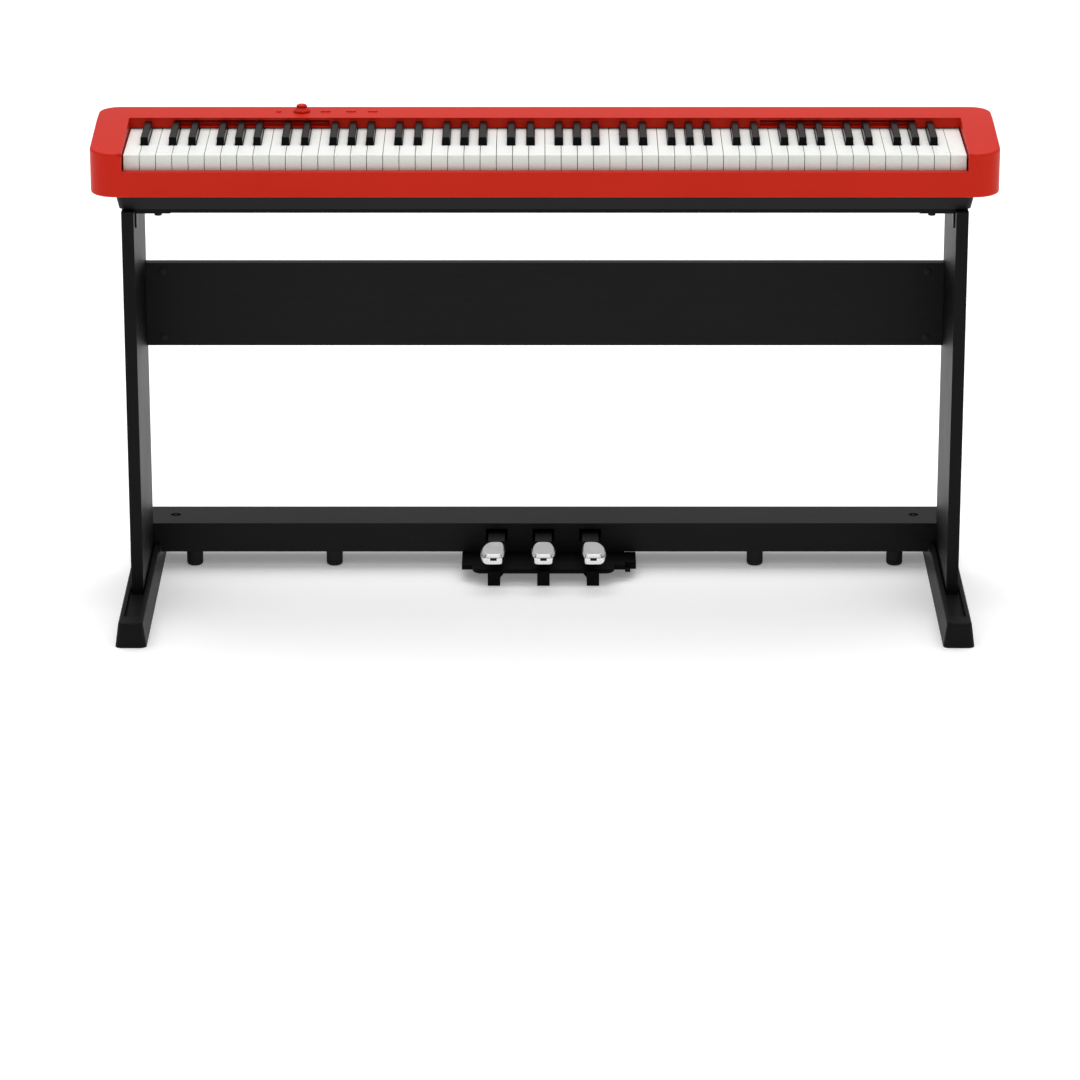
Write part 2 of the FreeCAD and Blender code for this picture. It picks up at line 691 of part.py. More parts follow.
def make_foot(name, side):
    """Long foot with sloping sides and a trough that holds the leg."""
    body = new_body(name)
    section = [("-foot_base / 2", "0"), ("foot_base / 2", "0"),
               ("foot_base / 2 - 1", "8"), ("foot_crown / 2", "foot_height"),
               ("-foot_crown / 2", "foot_height"), ("-foot_base / 2 + 1", "8")]
    pad(body, draw(body, "XZ_Plane", section, "-foot_half_length"),
        "2 * foot_half_length")
    trough = draw(body, "XY_Plane", rectangle(
        "-leg_thickness / 2 - 2.5", "trough_front", "leg_thickness / 2 + 2.5",
        "leg_rear + 2"), "leg_bottom")
    pocket(body, trough, "20", reverse=True)
    soften(body, "foot_corner", lambda e: abs(middle(e).y) > sizes.foot_half_length - 0.1
           and abs(e.Vertexes[0].Z - e.Vertexes[-1].Z) > 20)
    soften(body, "foot_crest", lambda e: middle(e).z > sizes.foot_height - 0.1
           and (abs(middle(e).x) > 15 or abs(middle(e).y) > sizes.foot_half_length - 12))
    place(body, (f"{side} * foot_centre", "0", "0"))
    keep(name, body)


def make_back_panel():
    board = box(("2 * leg_inner", "panel_thickness", "panel_crest - panel_bottom"),
                ("-leg_inner", "leg_rear - panel_thickness", "panel_bottom"))
    keep("back_panel", rounded(board, 1.2, lambda e: runs_along(e, "x")))
    caps = [cylinder("cap_radius", "cap_rise",
                     (side + "cap_offset", "leg_rear - panel_thickness - cap_rise", height),
                     "y")
            for side in ("-", "") for height in ("cap_low", "cap_high")]
    keep("screw_caps", group(caps))


def beam_board(front):
    """Upright board of the beam, notched over the two feet."""
    body = new_body("beam_board")
    low = "(foot_centre - notch_low)"
    high = "(foot_centre - notch_high)"
    shelf = "foot_height + part_gap"
    face = [(f"-{low}", "beam_bottom"), (low, "beam_bottom"), (high, shelf),
            ("beam_half", shelf), ("beam_half", "beam_top - beam_skin"),
            ("-beam_half", "beam_top - beam_skin"), ("-beam_half", shelf),
            (f"-{high}", shelf)]
    pad(body, draw(body, "XZ_Plane", face, f"-({front} + beam_board)"), "beam_board")
    return body


def make_beam():
    """Hollow lower beam: top and end boards over front and rear boards, on four pegs."""
    slots = [box(("arm_width + 8", "beam_board + 4", "30"),
                 (f"{x} - arm_width / 2 - 4", "leg_rear - 2", "arm_bottom - 9"))
             for x in PEDALS.values()]
    keep("pedal_beam_front", cut(beam_board("leg_rear"), fuse(*slots)))
    keep("pedal_beam_rear", beam_board("leg_rear + beam_depth - beam_board"))
    top = box(("2 * beam_half", "beam_depth", "beam_skin"),
              ("-beam_half", "leg_rear", "beam_top - beam_skin"))
    top = rounded(top, 1.2, lambda e: runs_along(e, "x")
                  and middle(e).z > sizes.beam_top - 1)
    holes = [cylinder("cam_radius + part_gap", "20",
                      (side + "cam_offset", "leg_rear + beam_depth / 2",
                       "beam_top - beam_skin - 5")) for side in ("-", "")]
    ends = [box(("beam_board", "beam_depth - 2 * beam_board",
                 "beam_top - beam_skin - foot_height - part_gap"),
                (x, "leg_rear + beam_board", "foot_height + part_gap"))
            for x in ("-beam_half", "beam_half - beam_board")]
    keep("pedal_beam_top", cut(fuse(top, *ends), fuse(*holes)))
    cams = []
    for side in ("-", ""):
        start = (side + "cam_offset", "leg_rear + beam_depth / 2")
        drum = cylinder("cam_radius", "beam_skin - 1.5", (*start, "beam_top - beam_skin"))
        groove = box(("10", "2.4", "4"), (f"{start[0]} - 5", f"{start[1]} - 1.2",
                                          "beam_top - 3.5"))
        cams.append(cut(drum, groove))
    keep("cam_locks", group(cams))
    pegs = []
    for x in ("-peg_far", "-peg_near", "peg_near", "peg_far"):
        peg = cylinder("peg_radius", "beam_bottom",
                       (x, "leg_rear + beam_board / 2 + 6", "0"))
        pegs.append(rounded(peg, 4, lambda e: e.CenterOfMass.z < 1 and e.Length > 60))
    keep("beam_pegs", group(pegs))


def make_rails():
    """Two flat bars and four angle brackets carry the keyboard unit."""
    bars = []
    for start in ("rail_front", "rail_second"):
        bar = box(("2 * leg_inner", "rail_width", "rail_thickness"),
                  ("-leg_inner", start, "leg_top - rail_thickness"))
        holes = [cylinder("bolt_radius + part_gap", "20",
                          (side + "bolt_offset", f"{start} + rail_width / 2",
                           "leg_top - 12")) for side in ("-", "")]
        bars.append(cut(bar, fuse(*holes)))
    keep("support_rails", group(bars))
    brackets = []
    bolts = []
    top = "(leg_top - rail_thickness)"
    for x, y in bolt_places():
        side = "-1" if x.startswith("-") else "1"
        reach = "(leg_inner - bracket_reach)" if side == "1" else "-leg_inner"
        upright = "(leg_inner - bracket_thickness)" if side == "1" else "-leg_inner"
        flat = box(("bracket_reach", "bracket_width", "bracket_thickness"),
                   (reach, f"{y} - bracket_width / 2", f"{top} - bracket_thickness"))
        wall = box(("bracket_thickness", "bracket_width", "bracket_drop"),
                   (upright, f"{y} - bracket_width / 2", f"{top} - bracket_drop"))
        hole = cylinder("bolt_radius + part_gap", "20", (x, y, f"{top} - 10"))
        brackets.append(cut(fuse(flat, wall), hole))
        grip = cylinder("grip_radius", "grip_height",
                        (x, y, f"{top} - bracket_thickness - grip_height"))
        shank = cylinder("bolt_radius", "22", (x, y, f"{top} - bracket_thickness - 1"))
        bolts.append(fuse(grip, shank))
    keep("leg_brackets", group(brackets))
    keep("knob_bolts", group(bolts))


# Pedal unit
PEDALS = {"left_pedal": "(pedal_centre - pedal_spacing)",
          "middle_pedal": "(pedal_centre)",
          "right_pedal": "(pedal_centre + pedal_spacing)"}
OUTWARD = {"left_pedal": -1, "middle_pedal": 0, "right_pedal": 1}


def make_paddle(name, x):
    """Broad pedal shoe: bulges outwards in its middle, with a deep rounded front lip."""
    body = new_body(name + "_shoe")
    steps = [("arm_width / 2", "0", "paddle_rear"),
             ("paddle_width / 2", "paddle_splay", "paddle_front + 32"),
             ("paddle_width / 2", "paddle_splay", "paddle_front + 14"),
             ("paddle_nose / 2", "nose_splay", "paddle_front")]
    side = OUTWARD[name]
    plan = [(f"{x} + {side} * {shift} + {half}", y) for half, shift, y in steps]
    plan += [(f"{x} + {side} * {shift} - {half}", y) for half, shift, y in reversed(steps)]
    pad(body, draw(body, "XY_Plane", plan, "paddle_lip"), "paddle_top - paddle_lip")
    above = draw(body, "YZ_Plane", [
        ("paddle_rear", "paddle_top"), ("paddle_front - 1", "paddle_tip"),
        ("paddle_front - 1", "paddle_top + 5"), ("paddle_rear", "paddle_top + 5")],
        f"{x} - 40")
    pocket(body, above, "80", reverse=True)
    below = draw(body, "YZ_Plane", [
        ("paddle_front + 16", "paddle_lip - 5"), ("paddle_rear + 5", "paddle_lip - 5"),
        ("paddle_rear + 5", "arm_bottom - 1"), ("paddle_rear - 10", "arm_bottom - 1"),
        ("paddle_front + 16", "paddle_lip + 3")], f"{x} - 40")
    pocket(body, below, "80", reverse=True)
    soften(body, "4", lambda e: abs(e.Vertexes[0].Z - e.Vertexes[-1].Z) > 5
           and middle(e).y < sizes.paddle_front + 34)
    soften(body, "1.5", lambda e: middle(e).z > sizes.paddle_tip - 0.3
           and middle(e).y < sizes.paddle_rear - 1
           and abs(e.Vertexes[0].Z - e.Vertexes[-1].Z) < 4)
    return body


def make_pedals():
    for name, x in PEDALS.items():
        arm = box(("arm_width", "pedal_pivot + 6 - arm_front", "arm_thickness"),
                  (f"{x} - arm_width / 2", "arm_front", "arm_bottom"))
        hub = cylinder("hub_radius", "arm_width",
                       (f"{x} - arm_width / 2", "pedal_pivot", PIVOT_HEIGHT), "x")
        lever = fuse(arm, hub, make_paddle(name, x))
        keep(name, cut(lever, cylinder(
            "pedal_rod + running_gap", "60", (f"{x} - 30", "pedal_pivot", PIVOT_HEIGHT), "x")))


PIVOT_HEIGHT = "(arm_bottom + arm_thickness / 2 - 3)"


def make_pedal_base():
    """Base plate with its rod bearings, three floor posts and a connector block."""
    plate = new_body("base_plate")
    rear = "leg_rear + beam_depth"
    narrow = "(plate_half - plate_step)"
    right = [(narrow, "plate_front"), (narrow, "plate_shoulder"),
             ("plate_half", "plate_shoulder"), ("plate_half", rear)]
    plan = [(f"pedal_centre + {half}", y) for half, y in right]
    plan += [(f"pedal_centre - {half}", y) for half, y in reversed(right)]
    pad(plate, draw(plate, "XY_Plane", plan, "plate_bottom"), "beam_bottom - plate_bottom")
    soften(plate, "plate_corner", lambda e: runs_along(e, "z") and middle(e).y < 60)
    soften(plate, "2", lambda e: middle(e).z < sizes.plate_bottom + 0.1
           and middle(e).y < 100, "PartDesign::Chamfer")
    bearings = [box(("bearing_thickness", "18", f"{PIVOT_HEIGHT} + 6 - beam_bottom + 1"),
                    (x, "pedal_pivot - 10", "beam_bottom - 1"))
                for x in ("pedal_centre - bearing_half",
                          "pedal_centre + bearing_half - bearing_thickness")]
    hole = cylinder("pedal_rod", "300", ("pedal_centre - 150", "pedal_pivot", PIVOT_HEIGHT), "x")
    keep("pedal_base_plate", cut(fuse(plate, *bearings), hole))
    keep("pedal_pivot_rod", cylinder(
        "pedal_rod", "2 * bearing_half",
        ("pedal_centre - bearing_half", "pedal_pivot", PIVOT_HEIGHT), "x"))
    posts = []
    for step in (-1, 0, 1):
        body = new_body("post")
        x = f"(pedal_centre + {step} * post_spacing)"
        half = "post_width / 2"
        face = [(f"{x} - {half}", "0"), (f"{x} + {half}", "0")]
        if step == -1:
            face += [(f"{x} + {half}", "plate_bottom - post_web_drop"),
                     (f"{x} + {half} + post_web", "plate_bottom"),
                     (f"{x} - {half}", "plate_bottom")]
        elif step == 1:
            face += [(f"{x} + {half}", "plate_bottom"),
                     (f"{x} - {half} - post_web", "plate_bottom"),
                     (f"{x} - {half}", "plate_bottom - post_web_drop")]
        else:
            face += [(f"{x} + {half}", "plate_bottom"), (f"{x} - {half}", "plate_bottom")]
        pad(body, draw(body, "XZ_Plane", face, "-post_rear"), "post_rear - plate_front")
        nose = box(("post_width", "plate_front - post_front", "beam_bottom - 1"),
                   (f"{x} - {half}", "post_front", "0"))
        posts.append(fuse(body, nose))
    keep("pedal_posts", group(posts))
    block = fuse(box(("17", "leg_rear - 84", "beam_bottom - plate_bottom + 4"),
                     ("pedal_centre + plate_half", "84", "plate_bottom - 4")),
                 box(("8", "leg_rear - 70", "4"),
                     ("pedal_centre + plate_half", "70", "plate_bottom - 4")))
    keep("pedal_connector", block)


def make_pedal_springs():
    """Return springs between the base plate and each lever."""
    height = sizes.arm_bottom - sizes.beam_bottom - 2 * sizes.spring_wire
    for name, offset in (("left", -1), ("middle", 0), ("right", 1)):
        path = Part.makeHelix(sizes.spring_pitch, height, sizes.spring_radius)
        start = Vector(sizes.spring_radius, 0, 0)
        ring = Part.Wire(Part.makeCircle(sizes.spring_wire, start, Vector(0, 1, 0)))
        coil = Part.Wire(path.Edges).makePipeShell([ring], True, True)
        item = doc.addObject("Part::Feature", f"{name}_pedal_spring")
        item.Shape = coil
        item.Placement = Placement(Vector(
            sizes.pedal_centre + offset * sizes.pedal_spacing, sizes.spring_depth,
            sizes.beam_bottom + sizes.spring_wire), Rotation())
        keep(f"{name}_pedal_spring", item)


def write_parts():
    doc.recompute()
    for item in doc.Objects:
        if "Invalid" in item.State or "Error" in item.State:
            raise ValueError(f"{item.Name} ({item.Label}) failed: {item.State}")
    for name, item in parts.items():
        if item.Shape.isNull() or not item.Shape.isValid():
            raise ValueError(f"{name} has no valid shape")
    os.makedirs("parts", exist_ok=True)
    for name, item in parts.items():
        item.Shape.exportStep(f"parts/{name}.step")
        print(name, round(item.Shape.Volume / 1000, 1), "cm3")
    print(len(parts), "parts")


make_upper_case()
make_lower_case()
make_keys()
make_key_bed()
make_contact_board()
make_boards()
make_speakers()
make_grilles()
make_controls()
make_sockets()
make_case_fixings()
make_leg("left_leg", -1)
make_leg("right_leg", 1)
make_foot("left_foot", -1)
make_foot("right_foot", 1)
make_back_panel()
make_beam()
make_rails()
make_pedals()
make_pedal_base()
make_pedal_springs()
write_parts()
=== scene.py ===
# Digital piano on a board stand: finishes, lights and fine detail round the CAD frame.
import bmesh
import bpy
import json
import math
from mathutils import Matrix, Vector


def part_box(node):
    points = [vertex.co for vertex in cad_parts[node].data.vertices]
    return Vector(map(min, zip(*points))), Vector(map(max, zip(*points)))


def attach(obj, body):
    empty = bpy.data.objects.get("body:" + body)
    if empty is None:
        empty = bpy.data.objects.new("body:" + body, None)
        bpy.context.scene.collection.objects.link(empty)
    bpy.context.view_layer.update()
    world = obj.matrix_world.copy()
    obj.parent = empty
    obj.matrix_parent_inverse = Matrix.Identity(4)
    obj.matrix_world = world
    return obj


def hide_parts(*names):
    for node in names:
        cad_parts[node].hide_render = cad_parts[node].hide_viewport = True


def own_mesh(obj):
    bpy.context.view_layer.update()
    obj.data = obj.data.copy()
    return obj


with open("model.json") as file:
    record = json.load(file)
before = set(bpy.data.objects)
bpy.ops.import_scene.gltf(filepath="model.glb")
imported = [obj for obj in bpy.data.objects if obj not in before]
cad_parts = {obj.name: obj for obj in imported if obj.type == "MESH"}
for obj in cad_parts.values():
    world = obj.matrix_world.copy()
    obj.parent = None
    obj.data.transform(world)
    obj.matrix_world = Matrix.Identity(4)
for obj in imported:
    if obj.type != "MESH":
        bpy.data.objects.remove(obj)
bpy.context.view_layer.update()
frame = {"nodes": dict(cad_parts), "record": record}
nodes = frame["nodes"]
base = "stand_and_case"
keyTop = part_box("c_key")[1][2]


class Sock:
    # A shader socket that can be used in plain expressions.
    def __init__(self, shade, socket):
        self.shade = shade
        self.socket = socket

    def __add__(self, other):
        return self.shade.maths("ADD", self, other)

    def __radd__(self, other):
        return self.shade.maths("ADD", other, self)

    def __sub__(self, other):
        return self.shade.maths("SUBTRACT", self, other)

    def __rsub__(self, other):
        return self.shade.maths("SUBTRACT", other, self)

    def __mul__(self, other):
        return self.shade.maths("MULTIPLY", self, other)

    def __rmul__(self, other):
        return self.shade.maths("MULTIPLY", other, self)


class Shade:
    # One material's node tree.
    def __init__(self, name):
        self.material = bpy.data.materials.new(name)
        self.material.use_nodes = True
        self.tree = self.material.node_tree
        self.tree.nodes.clear()
        self.place = self.node("ShaderNodeTexCoord", output="Object")

    def node(self, kind, settings=None, values=None, output=0):
        made = self.tree.nodes.new(kind)
        for key, value in (settings or {}).items():
            if key == "stops":
                while len(made.color_ramp.elements) < len(value):
                    made.color_ramp.elements.new(0.5)
                for element, (position, grey) in zip(made.color_ramp.elements, value):
                    element.position = position
                    element.color = (grey, grey, grey, 1)
            else:
                setattr(made, key, value)
        for key, value in (values or {}).items():
            if isinstance(value, Sock):
                self.tree.links.new(value.socket, made.inputs[key])
            else:
                made.inputs[key].default_value = value
        return Sock(self, made.outputs[output]) if len(made.outputs) else made

    def maths(self, operation, first, second):
        return self.node("ShaderNodeMath", {"operation": operation}, {0: first, 1: second})

    def noise(self, scale, detail=3.0, stretch=(1, 1, 1), roughness=0.5):
        where = self.node("ShaderNodeMapping", None, {"Vector": self.place, "Scale": stretch})
        return self.node("ShaderNodeTexNoise", None, {
            "Vector": where, "Scale": scale, "Detail": detail, "Roughness": roughness})

    def ramp(self, value, *stops):
        return self.node("ShaderNodeValToRGB", {"stops": stops}, {"Fac": value})

    def blend(self, mask, first, second):
        return self.node("ShaderNodeMix", {"data_type": "RGBA"},
                         {"Factor": mask, 6: first, 7: second}, 2)

    def bump(self, height, distance, strength=1.0):
        return self.node("ShaderNodeBump", None, {
            "Height": height, "Distance": distance, "Strength": strength})

    def finish(self, **sockets):
        names = {"colour": "Base Color", "roughness": "Roughness", "metallic": "Metallic",
                 "normal": "Normal", "sheen": "Sheen Weight",
                 "glow": "Emission Strength", "glowColour": "Emission Color",
                 "specular": "Specular IOR Level"}
        shader = self.node("ShaderNodeBsdfPrincipled", None,
                           {names[key]: value for key, value in sockets.items()})
        self.node("ShaderNodeOutputMaterial", None, {"Surface": shader})
        return self.material


def rgb(red, green, blue):
    return (red, green, blue, 1.0)


# Moulded plastic: fine spark-eroded grain, soft mottling in gloss and colour
def mouldedPlastic(name, colour, deep, roughness, grain, specular):
    s = Shade(name)
    cloudy = s.noise(9, 2)
    fine = s.noise(grain["scale"], 2)
    tone = s.blend(s.ramp(cloudy, (0.3, 0.0), (0.7, 1.0)), rgb(*deep), rgb(*colour))
    gloss = roughness + (cloudy - 0.5) * 0.08 + (fine - 0.5) * 0.06
    return s.finish(colour=tone, roughness=gloss, specular=specular,
                    normal=s.bump(fine, grain["depth"]))


# Foil-covered board: long faint grain along one axis under a satin skin
def foilBoard(name, along, specular):
    s = Shade(name)
    stretch = {"x": (0.05, 1, 1), "z": (1, 1, 0.05)}[along]
    grainLines = s.noise(260, 4, stretch, 0.6)
    pores = s.noise(1400, 2, stretch)
    cloudy = s.noise(5, 2)
    tone = s.blend(s.ramp(grainLines, (0.35, 0.0), (0.7, 1.0)),
                   rgb(0.0032, 0.0032, 0.0033), rgb(0.0052, 0.0052, 0.0053))
    gloss = 0.46 + (cloudy - 0.5) * 0.10 + (grainLines - 0.5) * 0.12
    return s.finish(colour=tone, roughness=gloss, specular=specular,
                    normal=s.bump(grainLines * 0.7 + pores * 0.3, 0.00005))


def polishedMetal(name, colour, roughness, scratch):
    s = Shade(name)
    smears = s.noise(45, 3)
    lines = s.noise(900, 2, (1, 0.04, 1))
    gloss = roughness + s.ramp(smears, (0.45, 0.0), (0.8, 0.12)) + lines * scratch
    return s.finish(colour=rgb(*colour), metallic=1.0, roughness=gloss,
                    normal=s.bump(lines, 0.00001))


def coatedSteel(name):
    s = Shade(name)
    peel = s.noise(700, 2)
    return s.finish(colour=s.blend(peel, rgb(0.0025, 0.0025, 0.0025), rgb(0.004, 0.004, 0.004)),
                    specular=0.1, roughness=0.42 + (peel - 0.5) * 0.1, normal=s.bump(peel, 0.00006))


def softFibre(name, dark, light, scale):
    s = Shade(name)
    fibres = s.noise(scale, 5, (1, 0.3, 1), 0.7)
    return s.finish(colour=s.blend(fibres, rgb(*dark), rgb(*light)), roughness=0.95,
                    sheen=0.3, normal=s.bump(fibres, 0.0003))


def circuitBoard(name):
    s = Shade(name)
    tracks = s.node("ShaderNodeTexBrick", None, {
        "Vector": s.place, "Scale": 120.0, "Mortar Size": 0.08,
        "Color1": rgb(0.012, 0.11, 0.03), "Color2": rgb(0.01, 0.09, 0.025),
        "Mortar": rgb(0.02, 0.17, 0.05)})
    return s.finish(colour=tracks, roughness=0.35 + s.noise(300) * 0.1)


# White keys: smooth plastic. The lips and sides are tinted green-grey, which cancels the
# red light from the front rail; it is a correction for the light, not a pigment
def whiteKeyPlastic(name):
    s = Shade(name)
    cloudy = s.noise(9, 2)
    parts = s.node("ShaderNodeSeparateXYZ", None, {"Vector": s.place}, "Z")
    lips = s.maths("LESS_THAN", parts, keyTop - 0.0008)
    tone = s.blend(cloudy, rgb(0.865, 0.88, 0.85), rgb(0.88, 0.895, 0.865))
    tone = s.blend(lips, tone, rgb(0.775, 0.845, 0.785))
    return s.finish(colour=tone, roughness=0.28 + (cloudy - 0.5) * 0.06,
                    specular=0.4, normal=s.bump(s.noise(2600, 2), 0.000004))


keyGrain = {"scale": 2600, "depth": 0.000004}
finishes = {
    "case_red": mouldedPlastic("redCase", (0.575, 0.0165, 0.0045), (0.545, 0.0145, 0.004),
                               0.40, {"scale": 1500, "depth": 0.00002}, 0.11),
    "case_black": mouldedPlastic("blackCase", (0.0105, 0.0102, 0.0104),
                                 (0.0085, 0.0083, 0.0085), 0.5,
                                 {"scale": 1300, "depth": 0.00003}, 0.17),
    "key_white": whiteKeyPlastic("whiteKeys"),
    "key_black": mouldedPlastic("blackKeys", (0.0045, 0.0045, 0.0048),
                                (0.0035, 0.0035, 0.0037), 0.24, keyGrain, 0.07),
    "stand_board": foilBoard("blackBoardUpright", "z", 0.095),
    "foot_plastic": mouldedPlastic("footPlastic", (0.0095, 0.0095, 0.0097),
                                   (0.008, 0.008, 0.0082), 0.42,
                                   {"scale": 1100, "depth": 0.00003}, 0.035),
    "rail_steel": coatedSteel("powderCoat"),
    "chrome": polishedMetal("chromePlate", (0.86, 0.86, 0.86), 0.12, 0.03),
    "steel": polishedMetal("zincPlate", (0.42, 0.42, 0.43), 0.34, 0.08),
    "rubber": mouldedPlastic("rubber", (0.009, 0.009, 0.009), (0.007, 0.007, 0.007), 0.7,
                             {"scale": 600, "depth": 0.00005}, 0.2),
    "felt": softFibre("redFelt", (0.2, 0.02, 0.015), (0.36, 0.05, 0.04), 900),
    "circuit_board": circuitBoard("circuitBoard"),
    "speaker_black": mouldedPlastic("speakerCone", (0.012, 0.012, 0.012),
                                    (0.008, 0.008, 0.008), 0.8,
                                    {"scale": 900, "depth": 0.00006}, 0.2),
    "chassis_grey": mouldedPlastic("chassis", (0.12, 0.12, 0.125), (0.10, 0.10, 0.105), 0.55,
                                   {"scale": 800, "depth": 0.00004}, 0.3),
}
# Black plastic for the pedal base, posts and connector, darker than the foot plastic: the extra dark
# is painted shade from the beam above them
basePlastic = mouldedPlastic("basePlastic", (0.0022, 0.0022, 0.0023),
                             (0.0016, 0.0016, 0.0017), 0.5,
                             {"scale": 1100, "depth": 0.00003}, 0.05)
boardAlongX = foilBoard("blackBoardLong", "x", 0.14)
slotOf = {row["node"]: row["material_slot"] for row in frame["record"]["subparts"]}
for name, item in nodes.items():
    item.data.materials.clear()
    longBoard = name.startswith("pedal_beam") or name == "back_panel"
    item.data.materials.append(boardAlongX if longBoard else finishes[slotOf[name]])
print("finishes", len(finishes) + 2)

# Shapes
wholeTurn = 2 * math.pi
shadeAngle = math.radians(38)
softAngle = 0.6        # radians between two faces that count as an edge


def evaluated(item):
    # The object's modifiers turned into a plain mesh, and taken off.
    bpy.context.view_layer.update()
    graph = bpy.context.evaluated_depsgraph_get()
    mesh = bpy.data.meshes.new_from_object(
        item.evaluated_get(graph), preserve_all_data_layers=True, depsgraph=graph)
    item.modifiers.clear()
    item.data = mesh
    return mesh


def formed(name, form):
    bmesh.ops.recalc_face_normals(form, faces=form.faces)
    mesh = bpy.data.meshes.new(name)
    form.to_mesh(mesh)
    form.free()
    item = bpy.data.objects.new(name, mesh)
    bpy.context.scene.collection.objects.link(item)
    return item


def finishPiece(item, finish, body, slot, *replaced):
    item.data.materials.clear()
    item.data.materials.append(finish)
    item.data.shade_smooth()
    item.data.set_sharp_from_angle(angle=shadeAngle)
    item.modifiers.new("evenNormals", "WEIGHTED_NORMAL").keep_sharp = True
    evaluated(item)
    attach(item, body)
    if replaced:
        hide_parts(*replaced)
    return item


def nodeForm(*names):
    # A clean copy of CAD nodes' shapes, with flat faces whole again.
    form = bmesh.new()
    for name in names:
        form.from_mesh(nodes[name].data)
    bmesh.ops.remove_doubles(form, verts=form.verts, dist=1e-6)
    bmesh.ops.dissolve_limit(form, angle_limit=math.radians(0.6),
                             verts=form.verts, edges=form.edges)
    return form


def soften(form, width, where=None, segments=2):
    # Rounds the long sharp edges of a form, or those whose middle passes the test.
    def wanted(edge):
        if len(edge.link_faces) != 2 or edge.calc_length() < 5 * width:
            return False
        if edge.calc_face_angle(0) < softAngle:
            return False
        return where is None or where((edge.verts[0].co + edge.verts[1].co) / 2)
    chosen = [edge for edge in form.edges if wanted(edge)]
    bmesh.ops.bevel(form, geom=chosen, offset=width, segments=segments, profile=0.5,
                    affect="EDGES", clamp_overlap=True)
    return form


def offsetOutline(points, inset):
    # A closed outline, counterclockwise, moved inwards.
    moved = []
    for index, here in enumerate(points):
        before, after = points[index - 1], points[(index + 1) % len(points)]
        along = Vector((here[0] - before[0], here[1] - before[1])).normalized()
        onward = Vector((after[0] - here[0], after[1] - here[1])).normalized()
        first, second = Vector((-along.y, along.x)), Vector((-onward.y, onward.x))
        inward = (first + second).normalized()
        inward *= inset / max(0.4, inward.dot(first))
        moved.append((here[0] + inward.x, here[1] + inward.y))
    return moved


def stacked(outline, rings):
    # A closed form from rings of one outline: each ring is (inset, height function).
    form = bmesh.new()
    loops = []
    for inset, height in rings:
        moved = offsetOutline(outline, inset)
        loops.append([form.verts.new((x, y, height(start[1])))
                      for (x, y), start in zip(moved, outline)])
    for low, high in zip(loops, loops[1:]):
        for index in range(len(outline)):
            onward = (index + 1) % len(outline)
            form.faces.new((low[index], low[onward], high[onward], high[index]))
    form.faces.new(list(reversed(loops[0])))
    form.faces.new(loops[-1])
    return form


def rounded(item, levels):
    modifier = item.modifiers.new("rounded", "SUBSURF")
    modifier.levels = levels
    modifier.render_levels = levels
    evaluated(item)


def spun(profile, steps):
    # A closed form turned about the upright axis from (radius, height) pairs.
    form = bmesh.new()
    loops = [[form.verts.new((radius * math.cos(wholeTurn * step / steps),
                              radius * math.sin(wholeTurn * step / steps), height))
              for step in range(steps)] for radius, height in profile]
    for low, high in zip(loops, loops[1:]):
        for step in range(steps):
            onward = (step + 1) % steps
            form.faces.new((low[step], low[onward], high[onward], high[step]))
    form.faces.new(list(reversed(loops[0])))
    form.faces.new(loops[-1])
    return form


# Geometry Nodes: copies of a shape along a line or round a turn, less one copy
def copiesTree():
    tree = bpy.data.node_groups.new("copies", "GeometryNodeTree")
    inputs = (("Shape", "NodeSocketGeometry"), ("Count", "NodeSocketInt"),
              ("Start", "NodeSocketVector"), ("Step", "NodeSocketVector"),
              ("Turn", "NodeSocketFloat"), ("Left out", "NodeSocketInt"),
              ("Ends", "NodeSocketObject"), ("Finish", "NodeSocketMaterial"))
    for name, kind in inputs:
        tree.interface.new_socket(name, in_out="INPUT", socket_type=kind)
    tree.interface.new_socket("Geometry", in_out="OUTPUT", socket_type="NodeSocketGeometry")

    def node(kind, **links):
        made = tree.nodes.new(kind)
        for key, value in links.items():
            socket = made.inputs[key.replace("_", " ")]
            if isinstance(value, bpy.types.NodeSocket):
                tree.links.new(value, socket)
            else:
                socket.default_value = value
        return made

    given = node("NodeGroupInput").outputs
    line = node("GeometryNodeMeshLine", Count=given["Count"], Start_Location=given["Start"],
                Offset=given["Step"])
    index = node("GeometryNodeInputIndex").outputs["Index"]
    same = tree.nodes.new("FunctionNodeCompare")
    same.data_type = "INT"
    same.operation = "EQUAL"
    tree.links.new(index, same.inputs[2])
    tree.links.new(given["Left out"], same.inputs[3])
    kept = node("GeometryNodeDeleteGeometry", Geometry=line.outputs["Mesh"],
                Selection=same.outputs["Result"])
    angle = tree.nodes.new("ShaderNodeMath")
    angle.operation = "MULTIPLY"
    tree.links.new(index, angle.inputs[0])
    tree.links.new(given["Turn"], angle.inputs[1])
    turning = node("ShaderNodeCombineXYZ", Z=angle.outputs[0])
    copies = node("GeometryNodeInstanceOnPoints", Points=kept.outputs["Geometry"],
                  Instance=given["Shape"], Rotation=turning.outputs["Vector"])
    ends = node("GeometryNodeObjectInfo", Object=given["Ends"])
    joined = node("GeometryNodeJoinGeometry", Geometry=copies.outputs["Instances"])
    tree.links.new(ends.outputs["Geometry"], joined.inputs["Geometry"])
    real = node("GeometryNodeRealizeInstances", Geometry=joined.outputs["Geometry"])
    painted = node("GeometryNodeSetMaterial", Geometry=real.outputs["Geometry"],
                   Material=given["Finish"])
    node("NodeGroupOutput", Geometry=painted.outputs["Geometry"])
    return tree


copies = copiesTree()
socketIds = {row.name: row.identifier for row in copies.interface.items_tree
             if row.in_out == "INPUT"}


